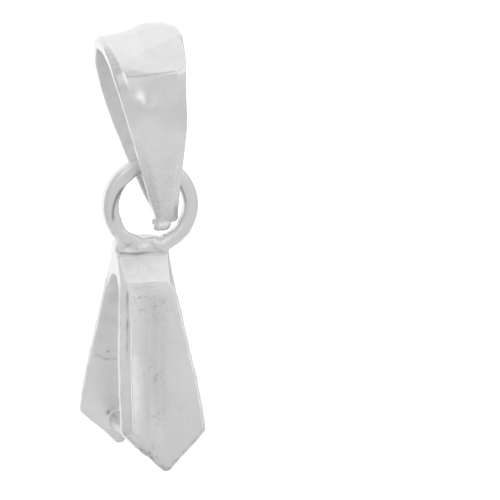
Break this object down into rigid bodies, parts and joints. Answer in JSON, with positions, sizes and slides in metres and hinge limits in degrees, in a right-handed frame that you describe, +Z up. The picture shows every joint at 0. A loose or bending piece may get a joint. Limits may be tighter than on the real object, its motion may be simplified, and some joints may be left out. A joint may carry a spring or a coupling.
{
  "type": "pinch bail pendant finding",
  "caption": "Teardrop chain loop linked through a jump ring to a pinch clip with kite-shaped leaves and inward prongs that grip a drilled pendant.",
  "frame": {"origin": "middle of the loop's inside top, where the chain runs", "axes": "+X along the chain, to the wearer's left as worn; -Y towards the viewer, out of the front leaf; +Z up"},
  "size_m": [0.0051, 0.0094, 0.0217],
  "materials": {
    "loop_silver": "cast sterling silver, filed and softly polished, bright white",
    "clip_silver": "cast sterling silver, satin polished, with rougher solder at the crown"
  },
  "bodies": {
    "loop": {"bail_loop": "loop_silver"},
    "clip": {"pinch_clip": "clip_silver"}
  },
  "joints": [
    {"name": "ring_swing", "type": "hinge", "parent": "loop", "child": "clip", "pos_m": [0.00095, 0.00021, -0.00599], "axis": [1, 0, 0], "range_deg": [-105, 115]}
  ]
}
